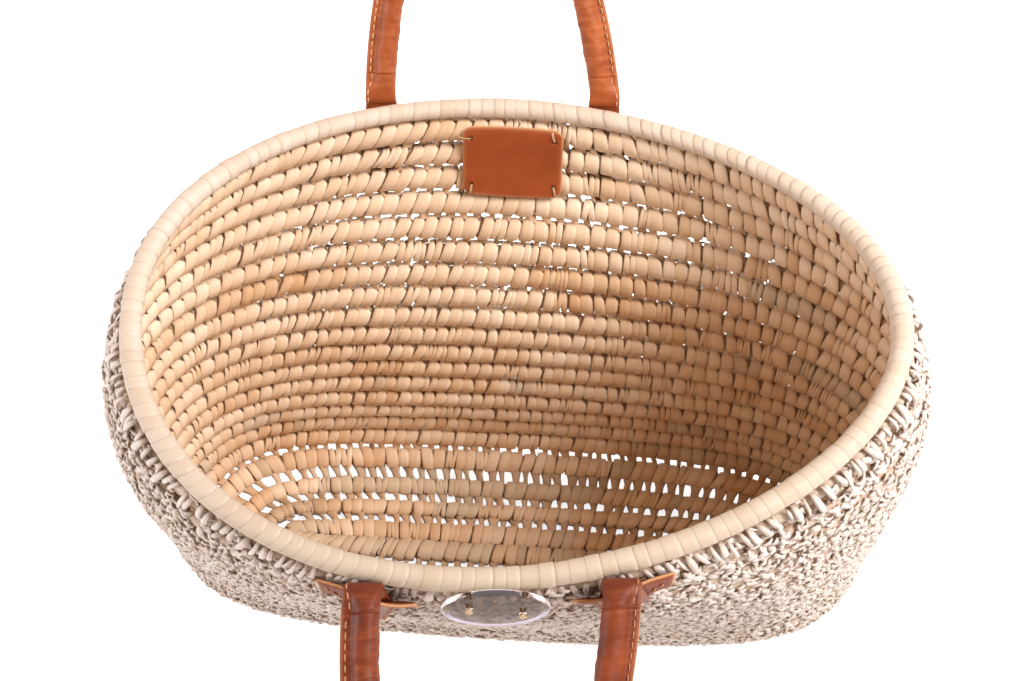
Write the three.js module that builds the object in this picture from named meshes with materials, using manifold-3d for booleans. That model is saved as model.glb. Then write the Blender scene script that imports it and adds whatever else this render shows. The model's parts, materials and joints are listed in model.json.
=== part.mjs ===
// An oval market basket of coiled palm leaf, in millimetres: X runs along it, -Y is its front, +Z is up.
// The origin is on the floor that it stands on, under the middle of the basket with its handles.
import * as THREE from "three";
import { mergeVertices } from "three/addons/utils/BufferGeometryUtils.js";
import Module from "manifold-3d";

const wasm = await Module();
wasm.setup();

// The coil that the basket is sewn from: its rows on each side of the seam in the base, how many of
// them lie flat on the floor, its rows in the wall, and its section.
const baseRows = 4;
const flatRows = 2;
const wallRows = 17;
const baseRowPitch = 18.2;
const halfSeam = 162;
const coilThickness = 14;
const rowGap = 1.2;
const stepsPerLoop = 24;
const climbSteps = 4;
const tailSteps = 1;

// The shape of the wall from the bottom edge up: how many wall rows below it, its rise above the
// flat bottom, and its reach from the middle to each long end, to the back and to the front.
const bottomEdge = { rows: 0, rise: 21 };
const lowWall = { rows: 4, rise: 91, endReach: 241.5, backReach: 80.5, frontReach: 95 };
const middleWall = { rows: 8, rise: 160, endReach: 241, backReach: 90.7, frontReach: 120 };
const bellyWall = { rows: 12, rise: 226, endReach: 239, backReach: 113.8, frontReach: 144.3 };
const shoulder = { rows: 14.5, rise: 264, endReach: 232, backReach: 134.8, frontReach: 155 };
const rimLine = { rows: 17, rise: 305, endReach: 212, backReach: 149, frontReach: 160 };
const cornerRise = 8;
const endLift = 7.5;
const frontSkew = 0.13;
const backSkew = 0.06;
const sideSquareness = 2.5;

// Rim hoop.
const rimRadius = 6;
const rimSteps = 48;
const rimSides = 8;

// Rolled leather handles. Their feet are places along X, and they lean outwards from upright.
const handleRise = 150;
const rollRadius = 7.2;
const leatherWall = 2;
const flangeReach = 5.5;
const flangeThickness = 3.8;
const rollStart = 10;
const tongueOverlap = 3;
const backFeet = { left: -93, right: 45, lean: 37 };
const frontFeet = { left: -62, right: 61, lean: 115 };
const handleSteps = 28;
const rollPoints = 11;
const coreSides = 8;
const seamThreadRadius = 0.5;

// Patches that carry the handles, each with a strap that passes outside the rim to the hinge line.
const patchWidth = 48;
const patchRows = 2.9;
const patchTopBelowRim = 0.4;
const patchBottomCurve = 1.1;
const strapWidth = 17;
const strapThickness = 2.6;
const strapFootRows = 0.8;
const knuckleRadius = 1.8;
const axisOut = 4.5;
const axisRise = 7;
const patchThreadRadius = 0.6;
const patchThreadInset = 0.8;
const patchThreadTopRows = 0.2;
const patchThreadBottomRows = 0.25;

// Leather label on the inside of the back wall, and its raffia ties.
const labelMiddle = -10;
const labelWidth = 64;
const labelRows = 2.8;
const labelTopBelowRim = 0.15;
const labelThickness = 2.2;
const labelBow = 0.12;
const labelCorner = 0.35;
const labelCornerShare = 0.2;
const tieRadius = 0.8;
const tieSpan = 6;
const tieBend = 0.6;
const tieInset = { across: 0.84, along: 0.17 };
const tieHoleClearance = 0.5;

// Clear round disc on the outside of the front wall, and the knotted threads through its holes.
const discRadius = 27;
const discThickness = 3;
const discBevel = 0.5;
const discDrop = 21;
const discTurn = 20;
const discHoleSpacing = 28;
const discHoleRadius = 2;
const knotStemRadius = 1.4;
const knotRadius = 2.6;
const knotHeight = 3;

// Clearances between pieces that touch.
const seat = 0.3;
const rimSeat = 0.5;
const labelSeat = 0.6;
const discSeat = 0.4;
const strapClearance = 0.8;
const hingeClearance = 0.4;

// Rows are counted from the seam, and the wall starts at the outer edge of the base. The coil's
// section is a hexagon, and its flat faces lie on the floor, on the outside and on the inside.
const flatOffset = (Math.sqrt(3) / 4) * coilThickness;
const edgeRow = baseRows - 0.5;
const topRow = edgeRow + wallRows;
const lastFlatRow = flatRows - 0.5;

// The coil's mid surface as heights and reaches at some rows, with a smooth curve between them.
function stadiumStation(row, height) {
  const side = baseRowPitch * (row + 0.5);
  return [row, height, halfSeam + side, side, side];
}

const baseStations = [];
for (let row = -0.5; row <= lastFlatRow; row++) baseStations.push(stadiumStation(row, flatOffset));
const stations = [
  ...baseStations,
  stadiumStation((lastFlatRow + edgeRow) / 2, flatOffset + cornerRise),
  stadiumStation(edgeRow, flatOffset + bottomEdge.rise),
  ...[lowWall, middleWall, bellyWall, shoulder, rimLine].map((s) => [
    edgeRow + (s.rows * wallRows) / rimLine.rows,
    flatOffset + s.rise,
    s.endReach,
    s.backReach,
    s.frontReach,
  ]),
];
const profile = new THREE.CubicInterpolant(
  stations.map((s) => s[0]),
  stations.flatMap((s) => s.slice(1)),
  4,
);

// A point of the mid surface at an angle round the basket and a row: a stadium at the bottom that
// turns into a slightly skewed oval at the rim, with the rim a little higher at the two ends.
function surface(angle, row) {
  const [height, end, back, front] = profile.evaluate(row);
  const share = Math.min(1, Math.max(0, (row - edgeRow) / wallRows));
  const c = Math.cos(angle);
  const s = Math.sin(angle);
  const straight = halfSeam * (1 - share);
  const squared = Math.tanh(sideSquareness * c) / Math.tanh(sideSquareness);
  const side = s >= 0 ? back : front;
  const skew = (s >= 0 ? backSkew : frontSkew) * share;
  return new THREE.Vector3(
    straight * squared + (end - straight) * c,
    side * s * (1 - skew * c),
    (row <= lastFlatRow ? flatOffset : height) + endLift * share * c * c,
  );
}

// Directions at a point of the mid surface: along the row, up across the rows, and outwards.
function directions(angle, row) {
  const d = 0.02;
  const along = surface(angle + d, row).sub(surface(angle - d, row)).normalize();
  const high = Math.min(row + 0.5, topRow);
  const low = Math.max(high - 1, -0.5);
  const across = surface(angle, high).sub(surface(angle, low)).normalize();
  const out = new THREE.Vector3().crossVectors(along, across).normalize();
  return { along, across, out };
}

// Geometry from points and triangles, turned round if its faces point inwards.
function facingOut(points, index) {
  let volume = 0;
  const cross = new THREE.Vector3();
  for (let i = 0; i < index.length; i += 3) {
    const [a, b, c] = [points[index[i]], points[index[i + 1]], points[index[i + 2]]];
    volume += a.dot(cross.crossVectors(b, c));
  }
  if (volume < 0) index.reverse();
  return new THREE.BufferGeometry().setFromPoints(points).setIndex(index);
}

// Triangles between neighbouring rings of a list, and from the last to the first if it is closed.
function sideTriangles(ringCount, sides, closed) {
  const index = [];
  const spans = closed ? ringCount : ringCount - 1;
  for (let i = 0; i < spans; i++) {
    const a = i * sides;
    const b = ((i + 1) % ringCount) * sides;
    for (let j = 0; j < sides; j++) {
      const k = (j + 1) % sides;
      index.push(a + j, b + j, b + k, a + j, b + k, a + k);
    }
  }
  return index;
}

// A ring's points in its own plane, for cutting its cap into triangles.
function flatten(ring) {
  const normal = new THREE.Vector3();
  for (let i = 0; i < ring.length; i++) {
    normal.add(new THREE.Vector3().crossVectors(ring[i], ring[(i + 1) % ring.length]));
  }
  const turn = new THREE.Quaternion().setFromUnitVectors(normal.normalize(), new THREE.Vector3(0, 0, 1));
  return ring.map((p) => {
    const q = p.clone().applyQuaternion(turn);
    return new THREE.Vector2(q.x, q.y);
  });
}

// Tube through a list of rings, each a list of points in order, with flat ends or closed on itself.
function tube(rings, closed = false) {
  const index = sideTriangles(rings.length, rings[0].length, closed);
  if (!closed) {
    const last = (rings.length - 1) * rings[0].length;
    const flat = flatten(rings[0]);
    for (const triangle of THREE.ShapeUtils.triangulateShape(flat, [])) {
      const turnsBack = THREE.ShapeUtils.area(triangle.map((corner) => flat[corner])) < 0;
      const [p, q, r] = turnsBack ? triangle.reverse() : triangle;
      index.push(p, q, r);
      index.push(last + r, last + q, last + p);
    }
  }
  return facingOut(rings.flat(), index);
}

// A geometry as a solid that can be cut and joined, and a solid as a geometry.
function solid(geometry) {
  const bare = geometry.clone();
  bare.deleteAttribute("normal");
  bare.deleteAttribute("uv");
  const merged = mergeVertices(bare, 1e-4);
  return new wasm.Manifold(
    new wasm.Mesh({
      numProp: 3,
      vertProperties: merged.attributes.position.array,
      triVerts: new Uint32Array(merged.index.array),
    }),
  );
}

function geometryOf(manifold) {
  const mesh = manifold.getMesh();
  return new THREE.BufferGeometry()
    .setAttribute("position", new THREE.BufferAttribute(new Float32Array(mesh.vertProperties), 3))
    .setIndex(new THREE.BufferAttribute(new Uint32Array(mesh.triVerts), 1));
}

// The row on which the coil lies after some turns: level, then a climb to the next row over one end.
const climbShare = climbSteps / stepsPerLoop;
const climbEnd = Math.PI * climbShare;

function rowAt(turn) {
  const whole = Math.floor(turn + 1e-9);
  const climb = Math.max(0, (turn - whole - 1 + climbShare) / climbShare);
  return whole + climb * climb * (3 - 2 * climb);
}

// Six-sided section of the coil at a turn, between the rows below and above it.
function coilSection(turn) {
  const angle = climbEnd + 2 * Math.PI * turn;
  const low = rowAt(turn) - 0.5;
  const high = Math.min(low + 1, topRow);
  const { across, out } = directions(angle, (low + high) / 2);
  const bottom = surface(angle, low).addScaledVector(across, rowGap / 2);
  const top = surface(angle, high).addScaledVector(across, -rowGap / 2);
  const half = (flatOffset * (1 + high - low)) / 2;
  const at = (share, offset) => bottom.clone().lerp(top, share).addScaledVector(out, offset);
  return [at(1, 0), at(0.75, half), at(0.25, half), at(0, 0), at(0.25, -half), at(0.75, -half)];
}

function coil(from, to) {
  const first = Math.round(from * stepsPerLoop);
  const last = Math.round(to * stepsPerLoop);
  const rings = [coilSection(from)];
  for (let step = first + 1; step <= last; step++) rings.push(coilSection(step / stepsPerLoop));
  return rings;
}

// Least distance between a coil's own points that lie a half turn or more apart along it.
function leastSelfGap(rings) {
  const apart = Math.round(stepsPerLoop / 2);
  let least = Infinity;
  for (let i = 0; i < rings.length; i++) {
    for (const other of rings.slice(i + apart)) {
      for (const a of rings[i]) {
        for (const b of other) least = Math.min(least, a.distanceTo(b));
      }
    }
  }
  return least;
}

// The coil is cut in two at the bottom edge, with a fine gap between the two ends.
const nearby = 0.01;
const coilSpeed = surface(climbEnd, baseRows).distanceTo(surface(climbEnd + nearby, baseRows)) / nearby;
const endGap = seat / coilSpeed / (2 * Math.PI);
const baseTurns = coil(0, baseRows);
const wallTurns = coil(baseRows + endGap, baseRows + wallRows - tailSteps / stepsPerLoop);
console.log("least gap of the base coil to itself:", leastSelfGap(baseTurns).toFixed(2));
console.log("least gap of the wall coil to itself:", leastSelfGap(wallTurns).toFixed(2));

// Centre of the rim hoop, which lies on the last row.
function rimCentre(angle) {
  const { across } = directions(angle, topRow - 0.5);
  return surface(angle, topRow).addScaledVector(across, rimRadius + rimSeat - rowGap / 2);
}

function rimRing(angle) {
  const { across, out } = directions(angle, topRow - 0.5);
  const ring = [];
  for (let j = 0; j < rimSides; j++) {
    const a = (2 * Math.PI * j) / rimSides;
    const point = rimCentre(angle).addScaledVector(out, rimRadius * Math.cos(a));
    ring.push(point.addScaledVector(across, rimRadius * Math.sin(a)));
  }
  return ring;
}

const rimRings = [];
for (let i = 0; i < rimSteps; i++) rimRings.push(rimRing((2 * Math.PI * i) / rimSteps));

// The angle at which a row passes a place along X, on the back or on the front.
function angleAt(x, row, isBack) {
  let low = isBack ? 0 : Math.PI;
  let high = low + Math.PI;
  for (let i = 0; i < 40; i++) {
    const middle = (low + high) / 2;
    const tooFar = surface(middle, row).x > x;
    if (tooFar === isBack) low = middle;
    else high = middle;
  }
  return (low + high) / 2;
}

// A point at an offset from the coil's mid surface, where the coil is straight between its steps.
function wallPoint(x, row, offset, isBack) {
  const angle = angleAt(x, row, isBack);
  const step = (2 * Math.PI) / stepsPerLoop;
  const before = Math.floor(angle / step) * step;
  const at = (a) => surface(a, row).addScaledVector(directions(a, row).out, offset);
  return at(before).lerp(at(before + step), (angle - before) / step);
}

// A sheet of leather that lies on the wall, between two offsets from the coil's mid surface. Its
// lower and upper edges are rows, given as functions of the place across it, from -1 to 1.
function wallSheet({ isBack, x, width, lower, upper, inner, outer, columns, rows }) {
  const rings = [];
  for (let i = 0; i <= columns; i++) {
    const u = (2 * i) / columns - 1;
    const line = (offset) => {
      const points = [];
      for (let j = 0; j <= rows; j++) {
        const row = lower(u) + ((upper(u) - lower(u)) * j) / rows;
        points.push(wallPoint(x + (u * width) / 2, row, offset, isBack));
      }
      return points;
    };
    rings.push([...line(inner), ...line(outer).reverse()]);
  }
  const sides = rings[0].length;
  const index = sideTriangles(rings.length, sides, false);
  const last = (rings.length - 1) * sides;
  for (let j = 0; j < rows; j++) {
    const [p, q, r, s] = [j, j + 1, sides - 2 - j, sides - 1 - j];
    index.push(p, q, s, q, r, s);
    index.push(last + q, last + p, last + s, last + q, last + s, last + r);
  }
  return facingOut(rings.flat(), index);
}

// Round thread along a list of points.
function thread(points, radius, sides = 5) {
  const up = new THREE.Vector3(0, 0, 1);
  const start = points[1].clone().sub(points[0]).normalize();
  if (Math.abs(start.z) > 0.9) up.set(0, 1, 0);
  const rings = points.map((point, i) => {
    const before = points[Math.max(i - 1, 0)];
    const after = points[Math.min(i + 1, points.length - 1)];
    const along = after.clone().sub(before).normalize();
    up.addScaledVector(along, -up.dot(along)).normalize();
    const side = new THREE.Vector3().crossVectors(along, up);
    const ring = [];
    for (let j = 0; j < sides; j++) {
      const a = (2 * Math.PI * j) / sides;
      const corner = point.clone().addScaledVector(up, radius * Math.cos(a));
      ring.push(corner.addScaledVector(side, radius * Math.sin(a)));
    }
    return ring;
  });
  return tube(rings);
}

// Colours and finishes.
const finish = (color, roughness) => new THREE.MeshStandardMaterial({ color, roughness, metalness: 0 });
const palm = finish(0xe2c7a0, 0.7);
const rimPalm = finish(0xf0dfc4, 0.6);
const leather = finish(0xb95a2d, 0.45);
const labelLeather = finish(0xaa5530, 0.6);
const rope = finish(0xd8c8a8, 0.9);
const seamThread = finish(0xebbe96, 0.7);
const raffia = finish(0xe6cda0, 0.7);
const clearPlastic = finish(0xe8e4f0, 0.08);

const basket = new THREE.Group();

function add(parent, name, geometry, material) {
  const mesh = new THREE.Mesh(geometry, material);
  mesh.name = name;
  parent.add(mesh);
}

add(basket, "base_coil", tube(baseTurns), palm);
add(basket, "wall_coil", tube(wallTurns), palm);
add(basket, "rim_hoop", tube(rimRings, true), rimPalm);

// How far from the middle a strap at a place along X has to lie, over its whole width, to pass
// the points that another function gives along X.
function outmost(x, pointAt) {
  const edges = [x - strapWidth / 2, x, x + strapWidth / 2];
  return Math.max(...edges.map((edge) => Math.abs(pointAt(edge).y)));
}

// Hinge line of a handle through its two feet, just outside the rim, and the frame that it gives:
// X along the line, Y outwards, Z up.
function hingeFrame(feet, isBack) {
  const sign = isBack ? 1 : -1;
  const rimAt = (x) => rimCentre(angleAt(x, topRow, isBack));
  const ends = [feet.left, feet.right].map((x) => {
    const lie = outmost(x, rimAt) + rimRadius + strapClearance + strapThickness / 2;
    return new THREE.Vector3(x, sign * (lie + axisOut), rimAt(x).z + axisRise);
  });
  const height = Math.max(ends[0].z, ends[1].z);
  ends.forEach((end) => (end.z = height));
  if (!isBack) ends.reverse();
  const along = ends[1].clone().sub(ends[0]);
  const spacing = along.length();
  along.normalize();
  const up = new THREE.Vector3(0, 0, 1);
  const matrix = new THREE.Matrix4().makeBasis(along, new THREE.Vector3().crossVectors(up, along), up);
  const middle = ends[0].clone().lerp(ends[1], 0.5);
  return { matrix: matrix.setPosition(middle), spacing, along, middle };
}

const patchInner = flatOffset + seat;
const patchOuter = patchInner + strapThickness;
const patchTop = topRow - patchTopBelowRim;
const patchBottom = patchTop - patchRows;
const patchLower = (u) => patchBottom + patchBottomCurve * (1 - Math.sqrt(Math.max(0, 1 - u * u)));

// Strap from a foot on the patch, up past the rim and out to the hinge line, with its knuckle there.
function strap(frame, x, side, isBack) {
  const middle = (patchInner + patchOuter) / 2;
  const footRow = patchTop - strapFootRows;
  const pointAt = (place) => wallPoint(place, footRow, middle, isBack);
  const foot = pointAt(x);
  foot.y = Math.sign(foot.y) * outmost(x, pointAt);
  foot.applyMatrix4(frame.matrix.clone().invert());
  const line = [
    new THREE.Vector2(foot.y, foot.z),
    new THREE.Vector2(-axisOut, -axisRise - rimRadius - strapThickness / 2),
    new THREE.Vector2(-axisOut, -axisOut),
    new THREE.Vector2(0, 0),
  ];
  const rings = line.map((point, i) => {
    const before = line[Math.max(i - 1, 0)];
    const after = line[Math.min(i + 1, line.length - 1)];
    const normal = new THREE.Vector2(after.y - before.y, before.x - after.x);
    normal.setLength(strapThickness / 2);
    const corner = (w, n) =>
      new THREE.Vector3(side + (w * strapWidth) / 2, point.x + n * normal.x, point.y + n * normal.y);
    return [corner(-1, 1), corner(1, 1), corner(1, -1), corner(-1, -1)];
  });
  const knuckle = new THREE.CylinderGeometry(knuckleRadius, knuckleRadius, strapWidth, 12);
  knuckle.rotateZ(Math.PI / 2).translate(side, 0, 0);
  return solid(tube(rings).applyMatrix4(frame.matrix)).add(solid(knuckle.applyMatrix4(frame.matrix)));
}

function patch(frame, x, side, isBack) {
  const sheet = wallSheet({
    isBack,
    x,
    width: patchWidth,
    lower: patchLower,
    upper: () => patchTop,
    inner: patchInner,
    outer: patchOuter,
    columns: 12,
    rows: 6,
  });
  return geometryOf(solid(sheet).add(strap(frame, x, side, isBack)));
}

// Sewing thread down one side of a patch, round its lower edge and up the other side.
function patchThread(x, isBack) {
  const offset = patchOuter + seat + patchThreadRadius;
  const points = [];
  const steps = 24;
  for (let i = 0; i <= steps; i++) {
    const a = Math.PI * (i / steps);
    const u = -patchThreadInset * Math.sign(Math.cos(a)) * Math.sqrt(Math.abs(Math.cos(a)));
    const top = patchTop - patchThreadTopRows;
    const bottom = patchLower(u) + patchThreadBottomRows;
    const row = top - (top - bottom) * Math.sqrt(Math.sin(a));
    points.push(wallPoint(x + (u * patchWidth) / 2, row, offset, isBack));
  }
  return thread(points, patchThreadRadius);
}

// Sweep of a flat section along a handle, which is half an ellipse from one foot round to the other
// in its own plane. The section's first axis points out of the loop, its second along Y.
function handleSweep(spacing, section, footHeight) {
  const half = (spacing - flangeReach) / 2;
  const start = Math.asin(footHeight / handleRise);
  const rings = [];
  for (let i = 0; i <= handleSteps; i++) {
    const angle = start + ((Math.PI - 2 * start) * i) / handleSteps;
    const [c, s] = [Math.cos(angle), Math.sin(angle)];
    const out = new THREE.Vector2(-handleRise * c, half * s).normalize();
    rings.push(
      section.map(([u, w]) => new THREE.Vector3(-half * c + out.x * u, w, handleRise * s + out.y * u)),
    );
  }
  return tube(rings);
}

function circleSection(radius, sides, middle = [0, 0]) {
  const section = [];
  for (let i = 0; i < sides; i++) {
    const a = (2 * Math.PI * (i + 0.5)) / sides;
    section.push([middle[0] + radius * Math.cos(a), middle[1] + radius * Math.sin(a)]);
  }
  return section;
}

// Rolled leather: a round with a flat flange along its outer side, where it is sewn shut.
function rollSection() {
  const start = Math.asin(flangeThickness / 2 / rollRadius);
  const section = [[rollRadius + flangeReach, flangeThickness / 2]];
  for (let i = 0; i < rollPoints; i++) {
    const a = start + ((2 * Math.PI - 2 * start) * i) / (rollPoints - 1);
    section.push([rollRadius * Math.cos(a), rollRadius * Math.sin(a)]);
  }
  section.push([rollRadius + flangeReach, -flangeThickness / 2]);
  return section;
}

function handle(name, feet, isBack) {
  const frame = hingeFrame(feet, isBack);
  const placed = new THREE.Group();
  placed.applyMatrix4(frame.matrix);
  const leaning = new THREE.Group();
  leaning.rotation.x = -THREE.MathUtils.degToRad(feet.lean);
  placed.add(leaning);
  basket.add(placed);

  const bore = rollRadius - leatherWall;
  const outer = solid(handleSweep(frame.spacing, rollSection(), rollStart));
  const hollow = solid(handleSweep(frame.spacing, circleSection(bore, coreSides), rollStart - 1));
  const tongueStart = knuckleRadius + hingeClearance;
  const tongueEnd = rollStart + tongueOverlap;
  let casing = outer.subtract(hollow);
  for (const side of [-1, 1]) {
    const tongue = new THREE.BoxGeometry(strapWidth, strapThickness, tongueEnd - tongueStart);
    tongue.translate((side * frame.spacing) / 2, 0, (tongueStart + tongueEnd) / 2);
    casing = casing.add(solid(tongue));
  }
  add(leaning, name + "_handle_leather", geometryOf(casing), leather);

  const coreRadius = bore * Math.cos(Math.PI / coreSides) - seat;
  const core = handleSweep(frame.spacing, circleSection(coreRadius, coreSides), tongueEnd + seat);
  add(leaning, name + "_handle_core", core, rope);

  const seamMiddle = [rollRadius + flangeReach / 2, -flangeThickness / 2 - seat - seamThreadRadius];
  const seam = handleSweep(frame.spacing, circleSection(seamThreadRadius, 5, seamMiddle), rollStart + 1);
  add(leaning, name + "_handle_seam_thread", seam, seamThread);

  const feetInOrder = isBack ? [feet.left, feet.right] : [feet.right, feet.left];
  [-1, 1].forEach((side, i) => {
    const x = feetInOrder[i];
    const corner = name + (x === feet.left ? "_left" : "_right");
    add(basket, corner + "_patch", patch(frame, x, (side * frame.spacing) / 2, isBack), leather);
    add(basket, corner + "_patch_thread", patchThread(x, isBack), seamThread);
  });
  return frame;
}

const hinges = { back: handle("back", backFeet, true), front: handle("front", frontFeet, false) };

// Label with a bowed lower edge and rounded corners, on the inner faces of the top rows.
const labelTop = topRow - labelTopBelowRim;
const labelBottom = labelTop - labelRows;
const labelRow = (labelTop + labelBottom) / 2;
const labelBack = -flatOffset - labelSeat;
const labelFace = labelBack - labelThickness;
const cornerCut = (u) => {
  const share = Math.max(0, (Math.abs(u) - 1 + labelCornerShare) / labelCornerShare);
  return labelCorner * (1 - Math.sqrt(1 - share * share));
};
let label = solid(
  wallSheet({
    isBack: true,
    x: labelMiddle,
    width: labelWidth,
    lower: (u) => labelBottom - labelBow * (1 - u * u) + cornerCut(u),
    upper: (u) => labelTop - cornerCut(u),
    inner: labelFace,
    outer: labelBack,
    columns: 14,
    rows: 5,
  }),
);

// Each tie is a short loop of raffia through two holes near a corner of the label.
const ties = { top_left: [-1, 1], top_right: [1, 1], bottom_left: [-1, -1], bottom_right: [1, -1] };
for (const [corner, [u, v]] of Object.entries(ties)) {
  const x = labelMiddle + (u * labelWidth * tieInset.across) / 2;
  const row = labelRow + (v * labelRows * (1 - 2 * tieInset.along)) / 2;
  const { along, out } = directions(angleAt(x, row, true), row);
  const start = wallPoint(x, row, labelBack, true);
  const at = (side, depth) => {
    const point = start.clone().addScaledVector(along, (side * tieSpan) / 2);
    return point.addScaledVector(out, -depth);
  };
  const top = labelThickness + seat + tieRadius;
  const bend = 1 - (2 * tieBend) / tieSpan;
  const leg = (side) => [at(side, seat), at(side, top - tieBend), at(side * bend, top)];
  add(basket, "label_tie_" + corner, thread([...leg(-1), ...leg(1).reverse()], tieRadius), raffia);
  for (const side of [-1, 1]) {
    const through = [at(side, -labelThickness), at(side, 2 * labelThickness)];
    label = label.subtract(solid(thread(through, tieRadius + tieHoleClearance, 8)));
  }
}
add(basket, "leather_label", geometryOf(label), labelLeather);

// Disc with two holes, flat against the front wall just under the rim.
const discAngle = 1.5 * Math.PI;
const { across: discUp, out: discOut } = directions(discAngle, topRow - 1);
const disc = new THREE.Group();
disc.position.copy(rimCentre(discAngle));
disc.position.addScaledVector(discUp, -discDrop);
disc.position.addScaledVector(discOut, Math.max(flatOffset, rimRadius) + discSeat);
disc.setRotationFromMatrix(
  new THREE.Matrix4().makeBasis(new THREE.Vector3().crossVectors(discUp, discOut), discUp, discOut),
);
const turned = new THREE.Group();
turned.rotation.z = -THREE.MathUtils.degToRad(discTurn);
disc.add(turned);
basket.add(disc);

const discOutline = new THREE.Shape().absarc(0, 0, discRadius - discBevel, 0, 2 * Math.PI);
for (const side of [-1, 1]) {
  const hole = new THREE.Path();
  hole.absarc((side * discHoleSpacing) / 2, 0, discHoleRadius + discBevel, 0, 2 * Math.PI, true);
  discOutline.holes.push(hole);
}
const discGeometry = new THREE.ExtrudeGeometry(discOutline, {
  depth: discThickness - 2 * discBevel,
  bevelSize: discBevel,
  bevelThickness: discBevel,
  bevelSegments: 1,
  curveSegments: 24,
}).translate(0, 0, discBevel);
add(turned, "clear_disc", discGeometry, clearPlastic);

// Thread through each hole of the disc, with a knot on the outside.
for (const side of [-1, 1]) {
  const knotBottom = discThickness + seat;
  const outline = [
    new THREE.Vector2(0, 0),
    new THREE.Vector2(knotStemRadius, 0),
    new THREE.Vector2(knotStemRadius, knotBottom),
    new THREE.Vector2(knotRadius, knotBottom + knotHeight / 4),
    new THREE.Vector2(knotRadius, knotBottom + (knotHeight * 3) / 4),
    new THREE.Vector2(0, knotBottom + knotHeight),
  ];
  const knot = new THREE.LatheGeometry(outline, 10).rotateX(Math.PI / 2);
  knot.translate((side * discHoleSpacing) / 2, 0, 0);
  add(turned, side < 0 ? "disc_tie_left" : "disc_tie_right", knot, raffia);
}

// The basket stands over its origin, and the hinges are printed in the same place.
const box = new THREE.Box3().setFromObject(basket, true);
const centre = box.getCenter(new THREE.Vector3());
basket.position.set(-centre.x, -centre.y, -box.min.z);
console.log("middle of the seam at", basket.position.toArray());
for (const [name, { middle, along }] of Object.entries(hinges)) {
  console.log(name, "hinge at", middle.clone().add(basket.position).toArray());
  console.log(name, "hinge axis", along.clone().negate().toArray());
}

export default basket;
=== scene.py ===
import json

import bpy
import numpy as np
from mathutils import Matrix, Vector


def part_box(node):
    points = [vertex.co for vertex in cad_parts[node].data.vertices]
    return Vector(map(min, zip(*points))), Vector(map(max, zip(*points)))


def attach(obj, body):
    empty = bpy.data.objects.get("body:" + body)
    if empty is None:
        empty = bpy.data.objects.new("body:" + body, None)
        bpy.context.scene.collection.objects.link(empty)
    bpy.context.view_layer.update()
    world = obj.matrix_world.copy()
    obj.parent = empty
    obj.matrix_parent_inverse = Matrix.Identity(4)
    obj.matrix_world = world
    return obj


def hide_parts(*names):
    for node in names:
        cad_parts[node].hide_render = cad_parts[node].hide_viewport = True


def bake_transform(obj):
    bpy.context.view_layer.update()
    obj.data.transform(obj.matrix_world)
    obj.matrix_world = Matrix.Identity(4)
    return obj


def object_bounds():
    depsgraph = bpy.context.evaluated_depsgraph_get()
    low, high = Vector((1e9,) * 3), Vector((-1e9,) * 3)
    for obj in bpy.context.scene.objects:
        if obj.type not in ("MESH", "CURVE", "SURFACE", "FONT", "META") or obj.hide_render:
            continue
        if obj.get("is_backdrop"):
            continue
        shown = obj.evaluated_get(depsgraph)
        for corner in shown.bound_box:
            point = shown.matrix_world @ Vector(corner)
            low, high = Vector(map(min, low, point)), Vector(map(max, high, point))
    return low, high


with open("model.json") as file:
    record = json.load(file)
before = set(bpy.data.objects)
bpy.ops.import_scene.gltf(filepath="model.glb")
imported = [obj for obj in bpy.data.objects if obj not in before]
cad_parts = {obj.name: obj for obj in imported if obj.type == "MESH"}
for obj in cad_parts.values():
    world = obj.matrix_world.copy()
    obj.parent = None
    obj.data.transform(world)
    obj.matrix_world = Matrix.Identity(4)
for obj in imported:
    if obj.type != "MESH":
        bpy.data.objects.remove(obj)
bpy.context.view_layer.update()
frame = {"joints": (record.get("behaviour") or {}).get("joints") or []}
rng = np.random.default_rng(11)

# View: the camera stands in front of the basket and above it, and looks down into the mouth.
def in_scene(data):
    """New object in the scene that shows a mesh, a light or a camera, under its name."""
    made = bpy.data.objects.new(data.name, data)
    bpy.context.scene.collection.objects.link(made)
    return made


lens = bpy.data.cameras.new("view")
lens.lens, lens.sensor_width, lens.clip_start = 44.52, 36, 0.02
camera = in_scene(lens)
camera.location = (0.0238, -0.37504, 0.88604)
camera.rotation_euler = np.radians((34, 0, 3.64))
bpy.context.scene.camera = camera

# Studio: a white floor that shows white to the camera and through the holes, and still takes
# the basket's shadow, with a soft lamp high on the right and a weak, low one on the left.
bpy.context.scene.view_settings.view_transform = "Standard"


def new_material(name):
    """New material, its nodes, and the inputs of the Principled shader on its output."""
    material = bpy.data.materials.new(name)
    material.use_nodes = True
    nodes = material.node_tree.nodes
    return material, nodes, nodes["Principled BSDF"].inputs


def fill(inputs, values):
    """Gives inputs of a node, by name or number, their values: a socket is linked to its input,
    and any other value is set on it."""
    for key, value in values.items():
        if isinstance(value, bpy.types.NodeSocket):
            value.id_data.links.new(value, inputs[key])
        else:
            inputs[key].default_value = value


def beside(*values):
    """Nodes of the tree that the first socket among some values belongs to."""
    return next(v for v in values if isinstance(v, bpy.types.NodeSocket)).id_data.nodes


def maths(operation, *values):
    """Result of a math operation on sockets and numbers."""
    node = beside(*values).new("ShaderNodeMath")
    node.operation = operation
    fill(node.inputs, dict(enumerate(values)))
    return node.outputs[0]


def mixed(share, low, high):
    """Colour between two colours by a share, each a socket or a value."""
    node = beside(share, low, high).new("ShaderNodeMix")
    node.data_type = "RGBA"
    fill(node.inputs, {0: share, 6: low, 7: high})
    return node.outputs[2]


def seen_directly(nodes):
    """1 for rays that the camera sends, straight, by reflection or through glass, else 0."""
    path = nodes.new("ShaderNodeLightPath").outputs
    total = maths("MAXIMUM", path["Is Camera Ray"], path["Is Glossy Ray"])
    return maths("MAXIMUM", total, path["Is Transmission Ray"])


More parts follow.
